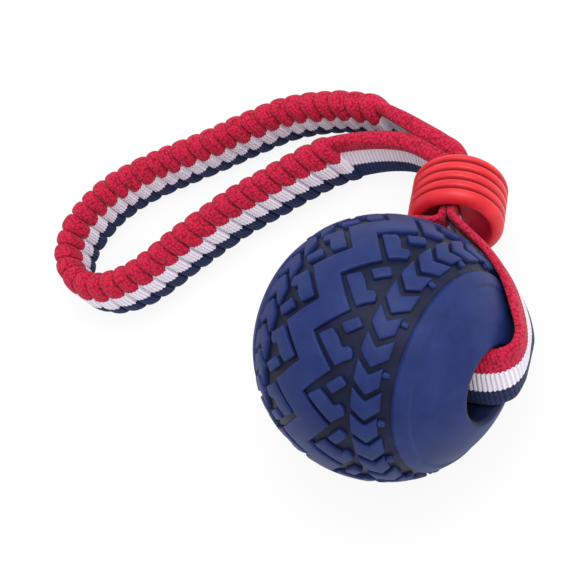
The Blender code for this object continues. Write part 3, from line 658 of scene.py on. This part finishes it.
def middleRib(spec, half):  # the zigzag band round the equator
    bm = bmesh.new()
    along, across = spec["ribGrid"]
    bmesh.ops.create_grid(bm, x_segments=spec["periods"] * 2 * along, y_segments=across, size=0.5)
    wide = half * (spec["ribPeak"] + spec["ribNotch"])
    for v in bm.verts:
        turn = (v.co.x + 0.5) * spec["periods"] * 2
        swing = abs(turn % 2 - 1)  # 1 at a peak, 0 at a notch
        top = half * (spec["ribNotch"] + (spec["ribPeak"] - spec["ribNotch"]) * swing)
        v.co = onBall(spec, turn * half, top - wide * (0.5 - v.co.y), spec["tread"])
    bmesh.ops.remove_doubles(bm, verts=bm.verts, dist=0.02)
    rims = [e for e in bm.edges if e.is_boundary]
    walls = bmesh.ops.extrude_edge_only(bm, edges=rims)["geom"]
    for v in [item for item in walls if isinstance(item, bmesh.types.BMVert)]:
        v.co *= (spec["radius"] - spec["tread"] - spec["sunk"]) / v.co.length
    bmesh.ops.bridge_loops(bm, edges=[e for e in bm.edges if e.is_boundary])
    bmesh.ops.recalc_face_normals(bm, faces=bm.faces)
    roundEdges(spec, bm, rims)
    return bm


def turned(section, steps, closed):  # the section, as (along, radius), spun about X
    bm = bmesh.new()
    points = [bm.verts.new((x, r, 0)) for x, r in section]
    following = points[1:] + points[:1] if closed else points[1:]
    edges = [bm.edges.new(pair) for pair in zip(points, following)]
    bmesh.ops.spin(
        bm, geom=points + edges, cent=(0, 0, 0), axis=(1, 0, 0), angle=2 * pi, steps=steps,
        use_merge=True, use_duplicate=False,
    )
    bmesh.ops.remove_doubles(bm, verts=bm.verts, dist=0.001)
    bmesh.ops.recalc_face_normals(bm, faces=bm.faces)
    return bm


def makeBall(spec):
    half = pi * spec["radius"] / spec["periods"]
    section = ballSection(spec)
    core = turned([*section, *((-x, r) for x, r in section[-2:0:-1])], spec["turns"], True)
    bm = bmesh.new()
    moves = [(1, half * (2 * i + 1)) for i in range(spec["periods"])]
    moves += [(-1, half * 2 * i) for i in range(spec["periods"])]
    for outline in spec["blocks"]:
        joinTo(bm, slicedBlock(spec, outline, half), moves)
    for v in bm.verts:
        v.co = onBall(spec, v.co.x, v.co.y, v.co.z)
    joinTo(bm, core)
    joinTo(bm, middleRib(spec, half))
    place = Matrix.Scale(mm, 4) @ toy @ Matrix.Rotation(radians(spec["spin"]), 4, "X")
    bmesh.ops.transform(bm, matrix=place, verts=bm.verts)
    piece = makePiece("ballRubber", bm, finishes["ball_rubber"], "ball")
    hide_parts("ball")


print("ball")
makeBall(ball)


# Slider bead, in mm: X towards its back face, Z along its slot
bead = {
    "radius": 15.2,
    "length": webbingRoute["beadLength"],
    "backRounding": 2.4,
    "frontRounding": 3.0,
    "backDish": (11.0, 1.0),  # radius and depth
    "frontDish": (11.8, 2.2),
    "grooves": 4,
    "groovePitch": 3.75,
    "grooveStart": 3.6,
    "grooveDepth": 1.15,
    "grooveWidth": 2.0,
    "grooveRows": (-1.0, -0.7, -0.4, -0.15, 0.15, 0.4, 0.7, 1.0),
    "turns": 96,
    "slot": (21.4, 6.4, 1.5),  # width, height and corner
    "slotOverrun": 2.0,
    "mouthEdge": 0.35,
}


def beadSection(spec):
    half, radius = spec["length"] / 2, spec["radius"]
    dish, sunk = spec["frontDish"]
    rounding = spec["frontRounding"]
    rows = [(-half + sunk, 0.0), (-half + sunk, dish * 0.55), (-half + sunk * 0.93, dish - sunk * 0.95)]
    rows += [(-half + sunk * 0.5, dish - sunk * 0.40), (-half + sunk * 0.12, dish - 0.05)]
    for i in range(11):
        angle = pi / 2 * (i / 10 * 1.12 - 0.12)
        rows.append((-half + rounding * (1 - cos(angle)), radius - rounding * (1 - sin(angle))))
    for i in range(spec["grooves"] - 1, -1, -1):
        middle = half - spec["grooveStart"] - spec["groovePitch"] * i
        for share in spec["grooveRows"]:
            depth = spec["grooveDepth"] * (0.5 + 0.5 * cos(pi * share))
            rows.append((middle + spec["grooveWidth"] / 2 * share, radius - depth))
    rounding = spec["backRounding"]
    for i in range(8, -1, -1):
        angle = pi / 2 * i / 8
        rows.append((half - rounding * (1 - cos(angle)), radius - rounding * (1 - sin(angle))))
    dish, sunk = spec["backDish"]
    rows += [(half - 0.1, dish), (half - sunk * 0.7, dish - 0.5)]
    return [*rows, (half - sunk, dish - 1.2), (half - sunk, 0.0)]


def makeBead(spec):
    place = Matrix.Scale(mm, 4) @ toy @ beadPlace(webbingRoute)
    bm = turned(beadSection(spec), spec["turns"], False)
    bmesh.ops.transform(bm, matrix=place, verts=bm.verts)
    piece = makePiece("sliderBeadRubber", bm, finishes["bead_rubber"])

    width, height, corner = spec["slot"]
    bm = bmesh.new()
    bmesh.ops.create_cube(bm, size=1)
    bmesh.ops.scale(bm, vec=(spec["length"] + 2 * spec["slotOverrun"], height, width), verts=bm.verts)
    long = [e for e in bm.edges if abs((e.verts[0].co - e.verts[1].co).x) > 1]
    bmesh.ops.bevel(bm, geom=long, offset=corner, affect="EDGES", segments=5, profile=0.5, material=-1)
    bmesh.ops.transform(bm, matrix=place, verts=bm.verts)
    cutter = makePiece("slotCutter", bm, finishes["bead_rubber"])
    cut = piece.modifiers.new("slot", "BOOLEAN")
    cut.operation = "DIFFERENCE"
    cut.object = cutter
    cut.solver = "EXACT"
    mouth = piece.modifiers.new("mouth", "BEVEL")
    mouth.width = spec["mouthEdge"] * mm
    mouth.segments = 2
    mouth.limit_method = "ANGLE"
    mouth.angle_limit = radians(50)
    graph = bpy.context.evaluated_depsgraph_get()
    mesh = bpy.data.meshes.new_from_object(piece.evaluated_get(graph))
    piece.modifiers.clear()
    piece.data = mesh
    bpy.data.objects.remove(cutter)
    mesh.shade_smooth()
    mesh.set_sharp_from_angle(angle=radians(40))
    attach(piece, "bead")
    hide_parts("slider_bead")


print("bead")
makeBead(bead)


# Webbing: each run is shaped flat, then laid along its line
def between(line, values, length):
    i = min(max(bisect_right(line["lengths"], length) - 1, 0), len(line["lengths"]) - 2)
    share = (length - line["lengths"][i]) / (line["lengths"][i + 1] - line["lengths"][i])
    return values[i].lerp(values[i + 1], share)


def lineFrame(line, length):  # the place at a length, the webbing's width there, and out of its face
    last, step = line["lengths"][-1], webbingRoute["step"]
    place = between(line, line["fine"], min(max(length, 0), last))
    ahead = between(line, line["fine"], min(length + step, last))
    along = (ahead - between(line, line["fine"], max(length - step, 0))).normalized()
    across = between(line, line["across"], min(max(length, 0), last))
    across = (across - along * across.dot(along)).normalized()
    return place, across, along.cross(across)


def outlinePoint(turn, halfWidth, halfHeight, power):  # a rounded flat outline; turn is 0 to 1 round it
    side = cos(2 * pi * turn)
    rise = (1 - abs(side) ** power) ** (1 / power)
    return halfWidth * side, halfHeight * rise * (1 if sin(2 * pi * turn) >= 0 else -1)


def rollTube(line, stations, around, shape):
    # A sheet rolled into a tube: one row of points for each station, each laid across the line
    bm = bmesh.new()
    uLayer = bm.verts.layers.float.new("alongLine")
    vLayer = bm.verts.layers.float.new("acrossLine")
    count = len(stations) - 1
    bmesh.ops.create_grid(bm, x_segments=count, y_segments=around, size=0.5)
    frames = [lineFrame(line, station["at"]) for station in stations]
    for v in bm.verts:
        i = round((v.co.x + 0.5) * count)
        slant = stations[i].get("slant", 0.0)
        over, through, share = shape(stations[i], v.co.y + 0.5)
        place, across, out = lineFrame(line, stations[i]["at"] + slant * over) if slant else frames[i]
        v.co = place + across * over + out * through
        v[uLayer] = stations[i]["cloth"] * mm
        v[vLayer] = share
    bmesh.ops.remove_doubles(bm, verts=bm.verts, dist=0.0005)
    bmesh.ops.holes_fill(bm, edges=[e for e in bm.edges if e.is_boundary], sides=0)
    bmesh.ops.recalc_face_normals(bm, faces=bm.faces)
    uv = bm.loops.layers.uv.new("webbing")
    for face in bm.faces:
        for loop in face.loops:
            loop[uv].uv = (loop.vert[uLayer], loop.vert[vLayer])
    bmesh.ops.scale(bm, vec=(mm, mm, mm), verts=bm.verts)
    return bm


flatWebbing = {
    "halfWidth": 10.0,
    "halfHeight": 1.0,
    "power": 7,
    "around": 40,
    "step": 1.0,
    "rim": 0.35,  # how much thicker the edges are than the middle
    "rimFrom": 0.62,  # where they begin, as a share of the half width
    "rollFrom": 0.36,  # where the red edge's roll begins
    "cupMiddle": 0.33,
    "strapCup": -1.7,  # how far the strap round the ball is cupped, mm
    "legCup": 0.6,
    "legRoll": 1.3,  # how much thicker a leg's red edge is where it is rolled
    "legDraw": 1.3,  # how far its edges are drawn in, mm
    "legLap": 3.0,  # how far it reaches into the gathers, mm
    "legBend": (8.0, 5.0),  # from its end in the bead and its end in the gathers, mm
}


def flatShape(station, turn):
    spec = flatWebbing
    over, through = outlinePoint(turn, station["halfWidth"], spec["halfHeight"], spec["power"])
    share = over / station["halfWidth"]
    edge = max(0.0, (abs(share) - spec["rimFrom"]) / (1 - spec["rimFrom"]))
    through *= 1 + spec["rim"] * edge * (1 - edge) * 4
    roll = min(max((share - spec["rollFrom"]) / (1 - spec["rollFrom"]), 0.0), 1.0)
    through *= 1 + station["roll"] * sqrt(max(0.0, 1 - (2 * roll - 1) ** 2))
    through += station["cup"] * (share ** 2 - spec["cupMiddle"])
    return over, through, 0.5 + share / 2


def flatStations(spec, start, end, cup, roll=0.0, draw=0.0):
    count = round((end - start) / spec["step"])
    found = []
    for i in range(count + 1):
        t = i / count
        at = start + (end - start) * t
        found.append({
            "at": at, "cloth": at, "halfWidth": spec["halfWidth"] - draw * sin(pi * t),
            "cup": cup * sin(pi * t), "roll": roll * abs(sin(pi * t)) ** 0.7,
        })
    return found


print("webbing through the ball")
line = flatStations(flatWebbing, 0, yoke["lengths"][-1], flatWebbing["strapCup"])
tube = rollTube(yoke, line, flatWebbing["around"], flatShape)
strap = makePiece("yokeWebbing", tube, finishes["webbing"], "yoke", creaseAngle=60)
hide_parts("yoke_leg_left", "strap_bore_run", "yoke_leg_right")

# The gathered stretch: pillow pleats, pushed together along the elastic, in mm
gathers = {
    "pitch": 5.6,
    "uneven": 0.10,  # how far the seams between pleats stray, as a share of the pitch
    "crest": 4.6,  # half thickness on a pleat
    "valley": 2.4,  # and between two
    "pillow": 2.6,
    "sizes": (0.93, 1.04),
    "redSide": 0.20,  # how much thicker the red side is than the middle, as the navy side is thinner
    "halfWidth": 10.1,
    "scallop": 1.2,
    "power": 2.6,
    "around": 56,
    "cloth": 6.25,  # webbing that shows on one pleat, five ribs
    "step": 0.8,  # how far the stripes step from pleat to pleat
    "stray": 0.35,  # and how far a pleat's own stripes stray
    "bulge": 1.5,  # how much further the red reaches on a pleat than between two
    "redReach": 0.7,  # and how far it reaches over the white anyway
    "reachFrom": 0.35,  # where that reach begins across the webbing, and how fast it grows
    "reachSlope": 3,
    "slant": 0.36,  # slope of the pleats, whose navy ends lie nearer the bead
    "overlap": 2.8,  # how far the sleeve reaches over each leg
    "shares": (
        0.0, 0.02, 0.05, 0.09, 0.14, 0.20, 0.27, 0.35, 0.43, 0.5, 0.57, 0.65, 0.73, 0.80, 0.86, 0.91,
        0.95, 0.98,
    ),
    "stretch": (22.0, 54.0),  # where the hand loop's stretch begins and ends, from the swing's axis
    "rings": 60,
    "seed": 11,
}


def gatherStations(spec, start, end):
    chance = Random(spec["seed"])
    stray, uneven = spec["stray"], spec["uneven"]
    pleats = round((end - start) / spec["pitch"])
    cuts = [i + (chance.uniform(-uneven, uneven) if 0 < i < pleats else 0) for i in range(pleats + 1)]
    found = []
    for pleat in range(pleats):
        size = chance.uniform(*spec["sizes"])
        shift = chance.uniform(-stray, stray)
        for share in (*spec["shares"], *((1.0,) if pleat == pleats - 1 else ())):
            full = (1 - abs(2 * share - 1) ** spec["pillow"]) ** 0.5
            at = cuts[pleat] + (cuts[pleat + 1] - cuts[pleat]) * share
            found.append({
                "at": start + (end - start) * at / pleats,
                "cloth": (pleat + share) * spec["cloth"],
                "full": full * size, "share": share, "shift": shift,
                "slant": spec["slant"] * cos(pi * at / pleats),
            })
    return found


def gatherShape(station, turn):
    spec, full, wide = gathers, station["full"], webbing["width"]
    halfWidth = spec["halfWidth"] - spec["scallop"] * (1 - full)
    halfHeight = spec["valley"] + (spec["crest"] - spec["valley"]) * full
    over, through = outlinePoint(turn, halfWidth, halfHeight, spec["power"])
    through *= 1 + spec["redSide"] * over / halfWidth
    step = spec["step"] * (station["share"] - 0.5) * 2 + station["shift"]
    stripe = over / wide + 0.5
    red = min(max((stripe - spec["reachFrom"]) * spec["reachSlope"], 0.0), 1.0)
    reach = (spec["bulge"] * (full - 0.5) + spec["redReach"]) * red
    return over, through, min(max(stripe + (step + reach) / wide, 0.0), 1.0)


def inMetres(length):  # a place on the hand loop's middle line
    return tuple(v * mm for v in lineFrame(hand, length)[0])


print("gathered hand loop")
line = gatherStations(gathers, gatherStart - gathers["overlap"], gatherEnd + gathers["overlap"])
tube = rollTube(hand, line, gathers["around"], gatherShape)
sleeve = makePiece("gatheredWebbing", tube, finishes["webbing"], creaseAngle=70)
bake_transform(sleeve)
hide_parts("gather_near", "gather_far", "gather_bow")
gathered, count = gatherEnd - gatherStart, gathers["rings"]
rings = [inMetres(gatherStart + gathered * i / count) for i in range(count + 1)]


def makeLeg(spec, name, node, bead, gather, way):  # way is 1 where the line runs from the bead, or else -1
    meet = gather + spec["legLap"] * way
    start, end = sorted((bead, meet))
    line = flatStations(spec, start, end, spec["legCup"] * way, spec["legRoll"], spec["legDraw"])
    tube = rollTube(hand, line, spec["around"], flatShape)
    leg = makePiece(name, tube, finishes["webbing"], creaseAngle=60)
    fromBead, fromGathers = spec["legBend"]
    bend = (inMetres(bead + fromBead * way), inMetres(meet - fromGathers * way))
    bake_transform(leg)
    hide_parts(node)


print("legs from the bead to the gathers")
makeLeg(flatWebbing, "farLegWebbing", "swing_leg_far", 0.0, gatherStart, 1)
makeLeg(flatWebbing, "nearLegWebbing", "swing_leg_near", hand["lengths"][-1], gatherEnd, -1)

# Pale floor, which keeps the object's shadow, and soft studio light from the picture's upper right
stage = {
    "floor": 3.0,
    "white": 0.90,
    "lift": 0.88,  # share of plain white that the camera sees in the floor
    "world": 0.84,
    "key": 6.6,
    "keySize": 0.7,
    "keyPlace": (0.40, 0.12, 0.92),
    "keyAim": (0, 0, 0.03),
}


def makeStage(spec):
    bm = bmesh.new()
    bmesh.ops.create_grid(bm, x_segments=1, y_segments=1, size=spec["floor"] / 2)
    made = bpy.data.materials.new("paleFloor")
    made.use_nodes = True
    tree = made.node_tree
    tree.nodes.clear()
    white = (spec["white"], spec["white"], spec["white"], 1)
    paper = addNode(tree, "BsdfDiffuse", {"Color": white})
    glow = addNode(tree, "Emission", {"Color": (1, 1, 1, 1), "Strength": 1.0})
    seen = addNode(tree, "LightPath").outputs["Is Camera Ray"]
    share = addNode(tree, "Math", {0: seen, 1: spec["lift"]}, operation="MULTIPLY").outputs[0]
    mixed = addNode(tree, "MixShader", {0: share, 1: paper.outputs[0], 2: glow.outputs[0]})
    addNode(tree, "OutputMaterial", {"Surface": mixed.outputs[0]})
    mesh = bpy.data.meshes.new("floor")
    bm.to_mesh(mesh)
    bm.free()
    mesh.materials.append(made)
    floorPiece = bpy.data.objects.new("floor", mesh)
    scene.collection.objects.link(floorPiece)

    world = bpy.data.worlds.new("studio")
    world.use_nodes = True
    tree = world.node_tree
    tree.nodes.clear()
    seen = addNode(tree, "LightPath").outputs["Is Camera Ray"]
    strength = addNode(tree, "MapRange", {"Value": seen, "To Min": spec["world"], "To Max": 1.0})
    sky = addNode(tree, "Background", {"Color": (1, 1, 1, 1), "Strength": strength.outputs[0]})
    addNode(tree, "OutputWorld", {"Surface": sky.outputs[0]})
    scene.world = world

    lamp = bpy.data.objects.new("softbox", bpy.data.lights.new("softbox", "AREA"))
    lamp.data.size = spec["keySize"]
    lamp.data.energy = spec["key"]
    lamp.location = spec["keyPlace"]
    aim = Vector(spec["keyPlace"]) - Vector(spec["keyAim"])
    lamp.rotation_euler = aim.to_track_quat("Z", "Y").to_euler()
    scene.collection.objects.link(lamp)


print("stage")
makeStage(stage)
